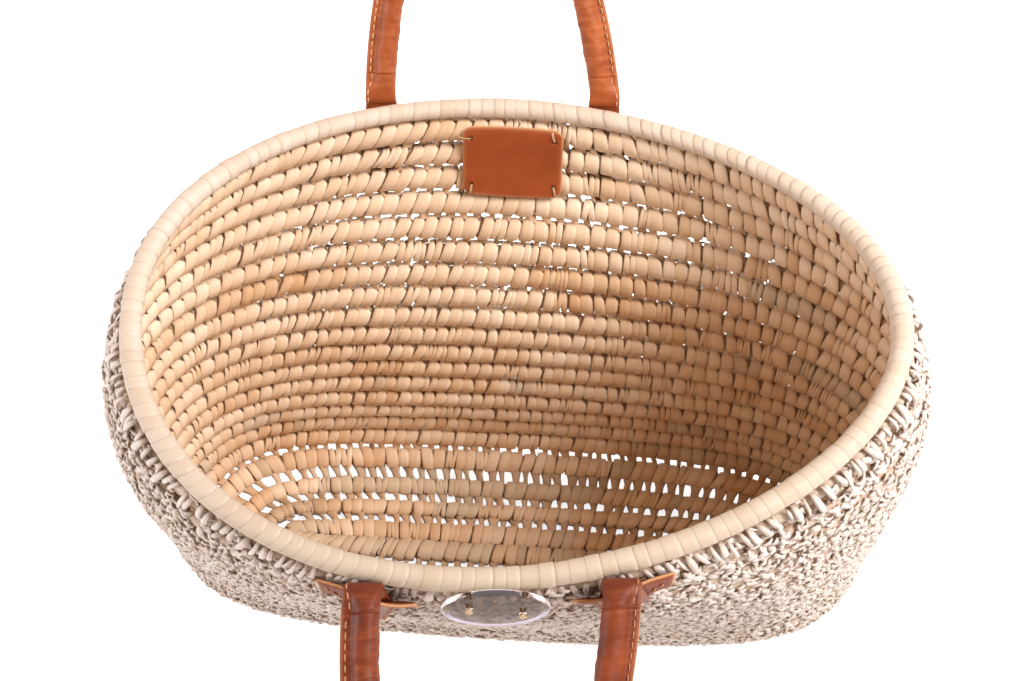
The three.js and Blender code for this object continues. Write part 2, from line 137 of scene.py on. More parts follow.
white_floor, nodes, surface = new_material("white_floor")
fill(surface, {
    "Base Color": (0.8, 0.8, 0.8, 1),
    "Roughness": 1,
    "Emission Color": (1, 1, 1, 1),
    "Emission Strength": maths("MULTIPLY", seen_directly(nodes), 0.8),
})

floor_mesh = bpy.data.meshes.new("floor")
floor_mesh.from_pydata([(-4, -4, 0), (4, -4, 0), (4, 4, 0), (-4, 4, 0)], [], [(0, 1, 2, 3)])
floor_mesh.materials.append(white_floor)
floor = in_scene(floor_mesh)
floor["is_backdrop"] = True

world = bpy.data.worlds.new("studio")
bpy.context.scene.world = world
world.use_nodes = True
nodes = world.node_tree.nodes

# The room is bright on the right and low down all round, and dim and warm high on the left. The
# camera sees it white.
looking = nodes.new("ShaderNodeSeparateXYZ")
fill(looking.inputs, {0: nodes.new("ShaderNodeTexCoord").outputs["Generated"]})
low_down = maths("MAXIMUM", maths("MULTIPLY_ADD", looking.outputs[2], -3, 1), 0)
bright = maths("MAXIMUM", low_down, maths("MAXIMUM", looking.outputs[0], 0))
room, white = nodes["Background"], nodes.new("ShaderNodeBackground")
tint = mixed(bright, (0.50, 0.33, 0.20, 1), (0.86, 0.86, 0.88, 1))
fill(room.inputs, {"Color": tint, "Strength": 1})
fill(white.inputs, {"Color": (1, 1, 1, 1)})
both = nodes.new("ShaderNodeMixShader")
fill(both.inputs, {"Fac": seen_directly(nodes), 1: room.outputs[0], 2: white.outputs[0]})
fill(nodes["World Output"].inputs, {"Surface": both.outputs[0]})


def lamp(name, place, aim, size, power, colour):
    """Square lamp of a size at a place, turned so that it shines at another place."""
    light = bpy.data.lights.new(name, "AREA")
    light.size, light.energy, light.color = size, power, colour
    holder = in_scene(light)
    holder.location = place
    x, y, z = np.array(place) - np.array(aim)
    holder.rotation_euler = (np.arctan2(np.hypot(x, y), z), 0, np.arctan2(x, -y))


lamp("right_lamp", (1.25, -0.15, 1.8), (0, 0.03, 0.2), 0.8, 46, (1, 0.98, 0.95))
lamp("left_lamp", (-1.7, -0.35, 0.62), (0, 0.03, 0.28), 0.8, 17, (0.9, 0.95, 1))

# The coil's core: one long bundle of dry grass that runs round from the seam in the middle of
# the base to the rim, 4 rows in the base and 17 in the wall, each row 18 mm above the last.
seam_middle = np.array((0.0209, 29.8357, 0)) / 1000
base_rows, wall_rows, row_rise, row_height = 4, 17, 0.018, 0.0182
edge_row, top_row = 3.5, 20.5
flat_height, half_seam, end_lift = 0.006062, 0.162, 0.0075

# Row, and the height and the reaches to the ends, the back and the front of the coil's middle.
stations = np.array((
    (-0.5, 6.062, 162, 0, 0),
    (0.5, 6.062, 180.2, 18.2, 18.2),
    (1.5, 6.062, 198.4, 36.4, 36.4),
    (2.5, 14.062, 216.6, 54.6, 54.6),
    (3.5, 27.062, 234.8, 72.8, 72.8),
    (7.5, 97.062, 241.5, 80.5, 95),
    (11.5, 166.062, 241, 90.7, 120),
    (15.5, 232.062, 239, 113.8, 144.3),
    (18, 270.062, 232, 134.8, 155),
    (20.5, 311.062, 212, 149, 160),
)) * (1, 0.001, 0.001, 0.001, 0.001)


def wall_profile(row):
    """Height and reaches at a row: a cubic between two stations, whose slope at each of them is
    the mean of the slopes of the straight lines on its two sides."""
    rows, values = stations[:, 0], stations[:, 1:]
    slopes = np.diff(values, axis=0) / np.diff(rows)[:, None]
    i = np.clip(np.searchsorted(rows, row, side="right") - 1, 0, len(slopes) - 1)
    span = (rows[i + 1] - rows[i])[..., None]
    p = (row - rows[i])[..., None] / span
    here = slopes[i] * (1.5 * p**2 + 0.5 * p - p**3)
    before = slopes[np.maximum(i - 1, 0)] / 2 * (p**3 - 2 * p**2 + p)
    after = slopes[np.minimum(i + 1, len(slopes) - 1)] / 2 * (p**3 - p**2)
    return np.moveaxis(values[i] + span * (here + before + after), -1, 0)


def wall_surface(angle, row):
    """Point of the coil's mid surface: a stadium round the seam at the bottom edge that turns
    into a slightly skewed oval at the rim, and rises a little towards the two ends."""
    angle, row = np.broadcast_arrays(np.asarray(angle, float), np.asarray(row, float))
    height, end, back, front = wall_profile(row)
    share = np.clip((row - edge_row) / wall_rows, 0, 1)
    c, s = np.cos(angle), np.sin(angle)
    straight = half_seam * (1 - share)
    side = np.where(s >= 0, back, front) * s
    skew = np.where(s >= 0, 0.06, 0.13) * share * c
    x = straight * np.tanh(2.5 * c) / np.tanh(2.5) + (end - straight) * c
    z = np.where(row <= 1.5, flat_height, height) + end_lift * share * c * c
    return np.stack((x, side * (1 - skew), z), -1) + seam_middle


def unit(vectors):
    """Vectors of length one in the same directions."""
    return vectors / np.linalg.norm(vectors, axis=-1, keepdims=True)


def wall_directions(angle, row):
    """Directions along a row, up across the rows and out of the wall: the differences of the
    mid surface over a small angle and over one row, and their cross product."""
    along = unit(wall_surface(angle + 0.02, row) - wall_surface(angle - 0.02, row))
    high = np.minimum(row + 0.5, top_row)
    across = unit(wall_surface(angle, high) - wall_surface(angle, np.maximum(high - 1, -0.5)))
    return along, across, unit(np.cross(along, across))


def smooth(share):
    """A share from 0 to 1 that starts and ends gently, and stays within them."""
    share = np.clip(share, 0, 1)
    return share * share * (3 - 2 * share)


# The way of the coil: level for most of a turn, then up to the next row over the right end. At
# the top its upper edge rises no further, so it tapers there, and stops a 24th of a turn early.
last_turn = base_rows + wall_rows - 1 / 24
coil_turn = np.linspace(0, last_turn, 5040)
coil_row = np.floor(coil_turn) + smooth((coil_turn % 1 - 5 / 6) * 6)
coil_top = np.minimum(coil_row + 0.5, top_row)
coil_angle = np.radians(30) + 2 * np.pi * coil_turn
coil_height = wall_surface(coil_angle, coil_top) - wall_surface(coil_angle, coil_row - 0.5)
coil_share = np.linalg.norm(coil_height, axis=1) / row_height
coil_centre = (coil_row - 0.5 + coil_top) / 2
coil_middle = wall_surface(coil_angle, coil_centre)
coil_along, coil_across, coil_out = wall_directions(coil_angle, coil_centre)

# The first row is wider than the rest: its stitches meet those of its other half at the seam.
widened = np.clip((1 - coil_turn) * 5, 0, 1)
coil_middle = coil_middle - coil_across * 0.0017 * widened[:, None]
coil_share = coil_share + 0.3 * widened


def run_along(line):
    """How far it is along a line to each of its points."""
    return np.concatenate(([0], np.cumsum(np.linalg.norm(np.diff(line, axis=0), axis=1))))


coil_length = run_along(coil_middle)


def turn_at(length):
    """How many turns the coil has made at a length along it."""
    return np.interp(length, coil_length, coil_turn)


def in_wall(turn):
    """0 in the base and 1 in the wall, with a smooth change at the bottom edge."""
    return smooth((turn - 3.2) / 0.8)


def read_off(place, run, *tables):
    """Points or directions at places along a run, from tables of them for that run."""
    return [np.stack([np.interp(place, run, column) for column in table.T], -1) for table in tables]


def on_coil(length, up, out):
    """Point at a length along the coil's middle line, moved up across the rows and out."""
    length, up, out = np.broadcast_arrays(length, up, out)
    middle, across, outward = read_off(length, coil_length, coil_middle, coil_across, coil_out)
    up = up * np.interp(length, coil_length, coil_share)
    return middle + across * up[..., None] + outward * out[..., None]


def round_angles(count):
    """Angles of the corners of a round section."""
    return np.linspace(0, 2 * np.pi, count + 1)[:-1]


def pairs(x, y):
    """Places on the UV map from two arrays that fit each other."""
    return np.stack(np.broadcast_arrays(x, y), -1)


def tube_mesh(name, rings, along, marks, closed=False):
    """Many like tubes in one mesh. rings is an array (tube, ring, corner, xyz), or that of one
    tube, and along has the UV map's two values for each point. Quads join each ring to the next,
    and a flat face closes each end. marks are values for each point, by name."""
    rings = rings.reshape(-1, *rings.shape[-3:])
    shape = rings.shape[:3]
    index = np.arange(np.prod(shape)).reshape(shape)
    here, there = (index, np.roll(index, -1, 1)) if closed else (index[:, :-1], index[:, 1:])
    quads = np.stack((here, np.roll(here, -1, 2), np.roll(there, -1, 2), there), -1)
    points = rings.reshape(-1, 3)
    first = quads[0].reshape(-1, 4)
    a, b, c, d = (points[first[:, k]] - points[first].mean((0, 1)) for k in range(4))
    inside_out = (np.cross(b, c) * a + np.cross(c, d) * a).sum() < 0
    faces = [quads.reshape(-1, 4)]
    if not closed:
        faces += [index[:, 0, ::-1].reshape(-1, shape[2]), index[:, -1].reshape(-1, shape[2])]
    if inside_out:
        faces = [f[:, ::-1] for f in faces]
    corners = np.concatenate([f.ravel() for f in faces])
    sizes = np.concatenate([np.full(len(f), f.shape[1]) for f in faces])
    mesh = bpy.data.meshes.new(name)
    mesh.vertices.add(len(points))
    mesh.vertices.foreach_set("co", points.astype(np.float32).ravel())
    mesh.loops.add(len(corners))
    mesh.loops.foreach_set("vertex_index", corners.astype(np.int32))
    mesh.polygons.add(len(sizes))
    mesh.polygons.foreach_set("loop_start", (np.cumsum(sizes) - sizes).astype(np.int32))
    mesh.update(calc_edges=True)
    mesh.polygons.foreach_set("use_smooth", sizes <= 4)
    uv = np.broadcast_to(along, shape + (2,)).reshape(-1, 2)[corners]
    mesh.uv_layers.new(name="strip").data.foreach_set("uv", uv.astype(np.float32).ravel())
    for mark, values in marks.items():
        values = np.broadcast_to(values, shape).astype(np.float32).ravel()
        mesh.attributes.new(mark, "FLOAT", "POINT").data.foreach_set("value", values)
    return mesh


def add_piece(mesh, material, body, slot, *replaced):
    """Puts a mesh in the scene as a piece of the basket that moves with a body."""
    piece = in_scene(mesh)
    mesh.materials.append(material)
    if body:
        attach(piece, body)
    if replaced:
        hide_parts(*replaced)
    return piece


def add_leaf(name, rings, along, marks, material):
    """Adds tubes of leaf that stand for the coil of the base or, if not named so, of the wall."""
    node = "base_coil" if name.startswith("base") else "wall_coil"
    add_piece(tube_mesh(name, rings, along, marks), material, "basket", "palm_leaf", node)


def effect(name, inputs):
    """New shader node group, the outputs of its start and the inputs of its end: it takes the
    given colours and numbers and makes a colour, a height and a roughness."""
    group = bpy.data.node_groups.new(name, "ShaderNodeTree")
    colour, number = "NodeSocketColor", "NodeSocketFloat"
    for socket, value in inputs.items():
        kind = colour if isinstance(value, tuple) else number
        group.interface.new_socket(socket, in_out="INPUT", socket_type=kind).default_value = value
    for socket, kind in (("Colour", colour), ("Height", number), ("Roughness", number)):
        group.interface.new_socket(socket, in_out="OUTPUT", socket_type=kind)
    start, end = group.nodes.new("NodeGroupInput"), group.nodes.new("NodeGroupOutput")
    return group, start.outputs, end.inputs


def noise(place, scale, detail=3, rough=0.5):
    """Value of a noise texture at a place."""
    node = beside(place).new("ShaderNodeTexNoise")
    fill(node.inputs, {"Vector": place, "Scale": scale, "Detail": detail, "Roughness": rough})
    return node.outputs["Fac"]


def stretched(place, scale):
    """A place with its three parts scaled one by one."""
    node = beside(place).new("ShaderNodeMapping")
    fill(node.inputs, {"Vector": place, "Scale": scale})
    return node.outputs[0]


# Dried palm leaf: fine ribs along each strip, a tone for each leaf from cream to brown, a few
# green-grey leaves, whose colour also serves as painted shade on the front of the rim, blotches
# over many strips, and a brown at the edges and in the hollows that is partly the leaf's own
# darker edges and partly painted shade.
shade_and_edge_brown = (0.30, 0.15, 0.07, 1)
leaf_group, given, result = effect("dried_leaf", {
    "Pale": (0.86, 0.70, 0.49, 1),
    "Warm": (0.66, 0.44, 0.25, 1),
    "Green": (0.43, 0.36, 0.26, 1),
    "Shade": shade_and_edge_brown,
    "Tone": 0.5,
    "Green And Shade": 0,
    "Hollow": 0,
    "Rib Strength": 1,
})
uv = leaf_group.nodes.new("ShaderNodeUVMap").outputs[0]
spot = leaf_group.nodes.new("ShaderNodeTexCoord").outputs["Object"]
ribs = noise(stretched(uv, (1400, 40, 1)), 1, 2, 0.6)
streaks = noise(stretched(uv, (420, 25, 1)), 1, 2, 0.5)
blotch = noise(spot, 22, 3, 0.6)
tone = maths("ADD", given["Tone"], maths("MULTIPLY_ADD", streaks, 0.5, -0.25))
tone = maths("ADD", tone, maths("MULTIPLY_ADD", blotch, 0.7, -0.35))
leaf = mixed(given["Green And Shade"], mixed(tone, given["Pale"], given["Warm"]), given["Green"])
dark = maths("MULTIPLY", maths("MULTIPLY_ADD", ribs, 0.5, -0.12), given["Rib Strength"])
leaf = mixed(maths("MULTIPLY", dark, 0.5), leaf, given["Warm"])
# The Hollow share takes the colour toward the Shade brown: painted shade, partly the leaf's darker edges.
fill(result, {
    "Colour": mixed(maths("MULTIPLY", given["Hollow"], 0.85), leaf, given["Shade"]),
    "Height": maths("ADD", maths("MULTIPLY", ribs, given["Rib Strength"]), streaks),
    "Roughness": maths("MULTIPLY_ADD", ribs, 0.25, 0.42),
})


def mesh_mark(nodes, mark):
    """Value that a mesh gives each of its points under a name."""
    node = nodes.new("ShaderNodeAttribute")
    node.attribute_name = mark
    return node.outputs["Fac"]


def with_effect(name, group, values, strength, bump, specular):
    """Material that an effect gives its colour, its roughness and, by a bump, its relief."""
    material, nodes, surface = new_material(name)
    finish, raised = nodes.new("ShaderNodeGroup"), nodes.new("ShaderNodeBump")
    finish.node_tree = group
    marks = {"Tone": "tone", "Green And Shade": "green_and_shade", "Hollow": "hollow", "Edge": "edge"}
    marked = {key: mesh_mark(nodes, mark) for key, mark in marks.items() if key in finish.inputs}
    fill(finish.inputs, {**values, **marked})
    height = finish.outputs["Height"]
    fill(raised.inputs, {"Strength": strength, "Distance": bump, "Height": height})
    fill(surface, {
        "Base Color": finish.outputs["Colour"],
        "Roughness": finish.outputs["Roughness"],
        "Normal": raised.outputs[0],
        "Specular IOR Level": specular,
    })
    return material


def leaf_material(name, pale, warm, ribs, bump, shade=shade_and_edge_brown):
    """Palm leaf in its own pale, warm and shade colours, with ribs that stand up by a bump."""
    values = {"Pale": pale, "Warm": warm, "Shade": shade, "Rib Strength": ribs}
    return with_effect(name, leaf_group, values, 0.6, bump, 0.35)


grass = leaf_material("dry_grass", (0.66, 0.54, 0.44, 1), (0.34, 0.20, 0.10, 1), 1, 0.0006)

# The core is an oval 4.2 mm half deep, and half as high as the stitches leave it, which is less
# in the open base than in the wall. It is pale on the outside, and warmer and in painted brown
# shade on the inside.
base_end, coil_end = np.interp((base_rows, last_turn), coil_turn, coil_length)
for name, start, end in (("base_core", 0, base_end), ("wall_core", base_end, coil_end)):
    length = np.linspace(start, end, int((end - start) / 0.006))[:, None]
    a = round_angles(8)
    high = 0.0044 + 0.0014 * in_wall(turn_at(length))
    rings = on_coil(length, high * np.sin(a), 0.0042 * np.cos(a))
    inside = 0.42 - 0.42 * np.cos(a)
    marks = {"tone": inside, "green_and_shade": 0, "hollow": inside}
    add_leaf(name, rings, pairs(a * 0.005, length), marks, grass)

# Stitches on the inside: strips of palm leaf, 9 mm wide, sewn over the core one beside the next.
# Each lies like a small cushion with a straight left edge and a round right one, leans to the
# right at its top, and is drawn in where it goes down between its row and the next.
stitch_pitch = 0.0088
counts = int(coil_end / stitch_pitch)
pitches = stitch_pitch * (1 + 0.11 * rng.standard_normal(counts).clip(-2, 2))
pitches *= np.interp(np.cumsum(pitches), (3, 14, coil_end), (1, 1, 1.1))
stitch_place = np.cumsum(pitches)
keep = stitch_place < coil_end - 0.004
stitch_place, pitches = stitch_place[keep], pitches[keep]
stitches = len(stitch_place)

# A leaf lasts for a few stitches, and its colour with it. The low wall has the warmest leaf,
# partly its own colour and partly painted shade for the dim low inside, and the base the most
# green-grey leaf.
stitch_turn = turn_at(stitch_place)
leaf_number = np.cumsum(rng.random(stitches) < 0.2)
leaf_tone = rng.normal(0.3, 0.17, leaf_number[-1] + 1)[leaf_number]
leaf_tone += np.interp(stitch_turn, (0, 3, 5, 12, 17), (0.05, 0.05, 0.1, 0.08, -0.05))
green_chance = np.interp(stitch_turn, (0, 3, 5, 12), (0.3, 0.25, 0.1, 0.03))
leaf_green = (rng.random(leaf_number[-1] + 1)[leaf_number] < green_chance) * 0.42

# One stitch in seven has split along their ribs into two to four narrow strips.
splits = rng.choice((1, 2, 3, 4), stitches, p=(0.85, 0.09, 0.045, 0.015))
owner = np.repeat(np.arange(stitches), splits)
order = np.arange(len(owner)) - np.repeat(np.cumsum(splits) - splits, splits)
strip_share = (order + 0.5) / splits[owner] - 0.5
strip_place = stitch_place[owner] - strip_share * pitches[owner] * 0.97
strip_width = pitches[owner] / splits[owner] * rng.uniform(1.04, 1.16, len(owner))
strip_turn = turn_at(strip_place)


def blunt(values, power):
    """Sine or cosine values brought nearer to one or minus one by a power, for a fuller oval."""
    return np.sign(values) * np.abs(values) ** power


def stitch_rings(place, width, turn):
    """Rings of the strips: each follows a flattened oval round the core from its lower edge over
    the inside to its upper edge, is widest in the middle, and swells across its width."""
    place, width, wall = (values[:, None, None] for values in (place, width, in_wall(turn)))
    v = np.array((-1, -0.84, -0.52, 0, 0.52, 0.84, 1))[:, None]
    x = np.array((-1, -0.8, -0.3, 0.35, 0.86, 1, 0))
    lift = np.array((-0.15, 0.5, 0.85, 1, 0.88, 0.25, -0.45))
    narrow = 1 - (0.46 + 0.06 * wall) * np.abs(v) ** 3.2
    left = -0.5 * width * (0.8 + 0.2 * narrow)
    right = width * narrow + left
    sideways = (left + right) / 2 + (right - left) / 2 * x
    lean = 0.0011 + 0.0003 * wall + 0.0006 * rng.standard_normal(place.shape)
    swell = np.minimum(0.0013, 0.2 * width) * rng.uniform(0.7, 1.2, place.shape)
    uneven = 0.0003 * rng.standard_normal(place.shape)
    high = 0.0056 + 0.0014 * wall + lift * swell * 0.6 + uneven
    deep = 0.0048 + lift * swell + 0.0002 * rng.standard_normal(place.shape)
    section = np.radians(100) * v
    rise, face = blunt(np.sin(section), 0.9), blunt(np.cos(section), 0.55)
    rings = on_coil(place - sideways - lean * rise, high * rise, -deep * face)
    # Painted shade, partly the leaf's darker edges: the left and right edges and the underside go toward
    # the shade brown, and so do both ends, where the strip goes down between the rows.
    edge = np.array((0.9, 0, 0, 0, 0, 0.5, 1))
    hollow = np.maximum(edge * 0.8, 0.5 * np.abs(v) ** 10)
    return rings, pairs(sideways + rng.random(place.shape), v * 0.009), hollow


inside_leaf = leaf_material(
    "inside_leaf", (0.90, 0.735, 0.565, 1), (0.67, 0.41, 0.22, 1), 0.6, 0.0002
)
ends = (0, base_rows, 13, base_rows + wall_rows)
for part, start, end in zip(("base", "low", "high"), ends[:-1], ends[1:]):
    chosen = (strip_turn >= start) & (strip_turn < end)
    rings, grain, hollow = stitch_rings(strip_place[chosen], strip_width[chosen], strip_turn[chosen])
    own = owner[chosen]
    tone = leaf_tone[own] + rng.normal(0, 0.1, len(own))
    marks = {"tone": tone[:, None, None], "green_and_shade": leaf_green[own][:, None, None], "hollow": hollow}
    add_leaf(part + "_inner_stitches", rings, grain, marks, inside_leaf)


# Necks between the rows: each strip is twisted narrow where it goes from its row to the one
# above, and leaves a small arched hole on both sides. In the base the holes are larger.
def twisted(x, y, turn):
    """Two measures across a strip after it turns about its own length."""
    return x * np.cos(turn) - y * np.sin(turn), x * np.sin(turn) + y * np.cos(turn)


def neck_rings(place):
    """Rings of the necks: a straight line from the top of one row to the foot of the next at
    the same angle, or to the rim, with a flat oval section that turns on its way."""
    turn = turn_at(place)
    above = np.interp(np.minimum(turn + 1, last_turn), coil_turn, coil_length)[:, None]
    wall = in_wall(turn)[:, None, None]
    place = place[:, None]
    t = np.linspace(0, 1, 5)[:, None]
    a = round_angles(6)
    high = 0.0040 + 0.0018 * wall[:, 0]
    out = rng.uniform(-0.002, 0.0015, place.shape)
    slip = 0.0011 * rng.standard_normal(place.shape)
    foot = on_coil(place - 0.0042, high, out)
    head = on_coil(above - 0.0026 + slip, -high, out)
    under_rim = (turn > last_turn - 1)[:, None, None]
    head = np.where(under_rim, on_coil(place - 0.0042, 0.0098, 0), head)
    line = foot + (head - foot) * t
    along, outward = read_off(place[:, None], coil_length, coil_along, coil_out)
    wide = 0.0020 * rng.uniform(0.6, 1.3, wall.shape)
    wide = wide * (1 + 0.4 * (1 - t) ** 2 + (1.5 - 0.5 * wall) * t**2)
    twist = rng.uniform(-0.5, 0.9, wall.shape) * (1 - np.abs(2 * t - 1))
    x = wide * np.cos(a)
    across, thick = twisted(x, 0.0009 * np.sin(a), twist)
    rings = line[:, :, None] + along * across[..., None] + outward * thick[..., None]
    return rings, pairs(x + rng.random(wall.shape), t * 0.006)


rings, grain = neck_rings(stitch_place)
for name, chosen in (("base_necks", stitch_turn < base_rows), ("wall_necks", stitch_turn >= base_rows)):
    tone, green_and_shade = (values[chosen][:, None, None] for values in (leaf_tone + 0.15, leaf_green))
    # Painted shade: every neck goes about a third of the way to the shade brown, as it lies deep between
    # the rows.
    marks = {"tone": tone, "green_and_shade": green_and_shade, "hollow": 0.35}
    add_leaf(name, rings[chosen], grain[chosen], marks, inside_leaf)


# Folds on the outside: the same strips come out crumpled on this side, each row a dense band
# of small folds and knots, with larger loose folds just under the rim.
def fold_rings(*measures):
    """Rings of small folded strips: each is an arch over its place on the coil, pointing any
    way along the wall, whose flat section twists from one end to the other. No point of one
    goes further up or down than its limit."""
    place, up, out, turn, reach, width, arch, limit = (values[:, None, None] for values in measures)
    t = np.array((-1, -0.45, 0.45, 1))[:, None]
    a = np.radians((0, 65, 180, 295))
    way = turn + 0.35 * rng.standard_normal(place.shape) * t
    start, more = rng.uniform(-0.55, 0.55, (2, *place.shape))
    x = width * (1 - 0.4 * t**2) / 2 * np.cos(a)
    side, thick = twisted(x, 0.0009 * np.sin(a), start + more * t)
    length = place + reach / 2 * t * np.cos(way) - side * np.sin(way)
    upward = up + reach / 2 * t * np.sin(way) + side * np.cos(way)
    outward = out + arch * (1 - t**2) + thick
    rings = on_coil(length, limit * np.tanh(upward / limit), outward)
    # Painted shade: the nearer a point lies to the wall, the further its colour goes toward the shade
    # brown.
    depth = 0.7 * np.clip((0.0046 - outward) / 0.0030, 0, 1)
    return rings, pairs(x + rng.random(place.shape), t * reach / 2), depth


outside_leaf = leaf_material(
    "outside_leaf", (0.80, 0.72, 0.68, 1), (0.65, 0.54, 0.47, 1), 1, 0.0003, (0.44, 0.30, 0.20, 1)
)
folds_each = 9
fold_owner = np.repeat(np.arange(stitches), folds_each)
count = len(fold_owner)
fold_turn = stitch_turn[fold_owner]
wall = in_wall(fold_turn)

# The folds also close the joints between the rows, but for the back, which lets light through.
at_back = np.clip(4 * np.sin(coil_angle[0] + 2 * np.pi * fold_turn) - 2, 0, 1)
closed = wall * (1 - 0.85 * at_back)
limit = 0.0066 + 0.0020 * wall + 0.0022 * closed
layer = rng.permuted(np.tile(np.linspace(-1, 1, folds_each), (stitches, 1)), axis=1).ravel()
fold_up = layer * 0.9 + rng.normal(0, 0.08, count)
fold_up = fold_up * (0.0048 + 0.0026 * wall + 0.0017 * closed)
spread = np.where(np.abs(layer) > 0.7, 0.25, 0.5)
spread = spread + (0.5 - spread) * wall
fold_place = stitch_place[fold_owner] + rng.uniform(-1, 1, count) * spread * stitch_pitch
curve = np.sqrt(np.clip(1 - (fold_up / 0.0110) ** 2, 0, 1))
fold_out = 0.0040 * curve + rng.uniform(-0.0004, 0.0003, count)
way = rng.uniform(0, np.pi, count)
reach = rng.uniform(0.0038, 0.0064, count)
width = rng.uniform(0.0028, 0.0046, count)
arch = rng.uniform(0.0006, 0.0017, count)

# The folds are larger near the rim, and in the last row most make way for the loops of the rim.
below_rim = last_turn - fold_turn
larger = 1 + 0.5 * np.clip((3 - below_rim) / 2, 0, 1) * rng.random(count)
reach, width, arch = reach * larger, width * larger, arch * larger
kept = (below_rim > 0.9) | (rng.random(count) < 0.3)
rings, grain, depth = fold_rings(fold_place, fold_up, fold_out, way, reach, width, arch, limit)
tone = 0.2 + 0.5 * (leaf_tone[fold_owner] - 0.3) + rng.normal(0, 0.16, count)
ends = (0, *np.linspace(base_rows, base_rows + wall_rows, 5))
for part, start, end in zip(("base", "low", "middle", "upper", "high"), ends[:-1], ends[1:]):
    chosen = kept & (fold_turn >= start) & (fold_turn < end)
    marks = {"tone": tone[chosen][:, None, None], "green_and_shade": 0, "hollow": depth[chosen]}
    add_leaf(part + "_outer_folds", rings[chosen], grain[chosen], marks, outside_leaf)

# Rim: a round hoop wrapped tightly with pale, smooth palm strips 8 mm wide, each lying with
# one edge on the strip before it.
rim_radius, wraps = 0.0059, 146


def rim_line(angle):
    """Middle of the rim, which lies on the last row of the wall."""
    across = wall_directions(angle, top_row - 1)[1]
    return wall_surface(angle, top_row) + across * rim_radius


fine = np.linspace(0, 2 * np.pi, 2001)
rim_run = run_along(rim_line(fine))
wrap_width = rng.uniform(0.8, 1.25, wraps)
wrap_edge = np.concatenate(([0], np.cumsum(wrap_width))) / wrap_width.sum() * rim_run[-1]

# Each wrap has six rings, by their share of its width, and its swell and its painted shade at
# each, darkest at its sunk edge beside the wrap before it.
within = np.array((0, 0.03, 0.12, 0.4, 0.7, 0.97))
swell = np.array((-0.00018, 0, 0.00006, 0.00012, 0.00014, 0.0001))
tucked_edge_shade = np.array((0.6, 0.05, 0, 0, 0, 0.05))


def each_wrap(values):
    """Values with a row for each wrap, or the same in all its rings, as those of one tube."""
    return (values * np.ones((wraps, len(within)))).reshape(1, -1, 1)


run = each_wrap(wrap_edge[:-1, None] + within * np.diff(wrap_edge)[:, None])
a = round_angles(18)
angle = np.interp((run + 0.0011 * np.sin(a)) % rim_run[-1], rim_run, fine)
_, across, outward = wall_directions(angle, top_row - 1)
radius = rim_radius + each_wrap(swell + 0.00012 * rng.standard_normal((wraps, 1)))
rings = rim_line(angle) + outward * (radius * np.cos(a))[..., None]
rings = rings + across * (radius * np.sin(a))[..., None]
marks = {
    "tone": each_wrap(rng.normal(0.12, 0.13, (wraps, 1))),
    # Painted shade: the front of the rim, which gets less light, goes part way to the grey-green leaf
    # colour.
    "green_and_shade": 0.6 * np.clip(-np.sin(angle) - 0.1, 0, 1),
    # Painted shade at the sunk edge of each wrap, more on some wraps than on others.
    "hollow": each_wrap(tucked_edge_shade * rng.uniform(0.05, 0.75, (wraps, 1))),
}
grain = pairs(run + each_wrap(rng.random((wraps, 1))), a * rim_radius)
rim_leaf = leaf_material("rim_leaf", (0.73, 0.62, 0.53, 1), (0.60, 0.44, 0.31, 1), 0.7, 0.0002)
mesh = tube_mesh("wrapped_rim", rings, grain, marks, True)
add_piece(mesh, rim_leaf, "basket", "rim_palm_leaf", "rim_hoop")

# Loops under the rim: where the strips of the last row come out below the rim, they stand off
# the wall as large loose loops, with brown hollows between them.
feet = {"back": (-0.093, 0.045), "front": (-0.062, 0.061)}
patch_width, disc_radius = 0.048, 0.027


def leather_near(place):
    """True where a patch or the disc lies on the wall at a place, or within a few millimetres."""
    x, y = place[..., 0], place[..., 1]
    near = (y < 0) & (np.abs(x) < disc_radius + 0.004)
    for side, sign in (("back", 1), ("front", -1)):
        for foot in feet[side]:
            close = np.abs(x - foot) < patch_width / 2 + 0.003
            near |= close & (sign * (y - seam_middle[1]) > 0)
    return near


loop_pitch = 0.0055
loops = int(rim_run[-1] / loop_pitch)
loop_run = ((np.arange(loops) + rng.uniform(0.15, 0.85, loops)) * loop_pitch)[:, None, None]
t = np.linspace(0, 1, 8)[:, None]
a = round_angles(6)
held = leather_near(wall_surface(np.interp(loop_run, rim_run, fine), 19.5))
length, drift, twist, width, bulge, out = (
    rng.uniform(low, high, loop_run.shape)
    for low, high in (
        (0.7, 1.3), (-0.003, 0.003), (-0.9, 0.9), (0.0026, 0.0058), (0.0018, 0.0052), (0.0030, 0.0044)
    )
)
bulge = np.where(held, 0.0008, bulge)
width = width * (0.55 + 0.45 * np.sin(np.pi * np.clip(1.15 * t, 0, 1)))
x, y = width / 2 * np.cos(a), 0.0006 * np.sin(a) - 0.25 * width * np.cos(a) ** 2
sideways, thick = twisted(x, y, twist * np.sin(np.pi * t))
thick = np.where(held, thick * 0.3, thick)
angle = np.interp((loop_run + drift * t + sideways) % rim_run[-1], rim_run, fine)
row = 20.42 - length * t
outward = wall_directions(angle, np.minimum(row, top_row - 1))[2]
loop_out = out + bulge * np.sin(np.pi * t**0.8) + thick
rings = wall_surface(angle, row) + outward * loop_out[..., None]
# Painted shade: both ends of each loop, where it goes into the wall, go toward the shade brown.
marks = {
    "tone": rng.normal(0.1, 0.16, loop_run.shape),
    "green_and_shade": 0,
    "hollow": np.clip(0.9 - 7 * t, 0, 0.9) + np.clip(5 * t - 4.4, 0, 0.6),
}
grain = pairs(x + rng.random(loop_run.shape), t * 0.015)
add_leaf("rim_loops", rings, grain, marks, outside_leaf)

# Handles: tan leather rolled round a rope and sewn shut along a flange on the outside of the
# loop, with a row of light stitches. The roll opens out into a flat neck at each foot.
flange_reach, flange_half = 0.0055, 0.0019
roll_radius, handle_rise, roll_foot = 0.0065, 0.150, 0.010
lean = {"back": 37, "front": 115}
pinched = {"back": 0.2, "front": 0}
swayed = {"back": -0.008, "front": 0.012}
hinges = {joint["name"].split("_")[0]: joint for joint in frame["joints"]}

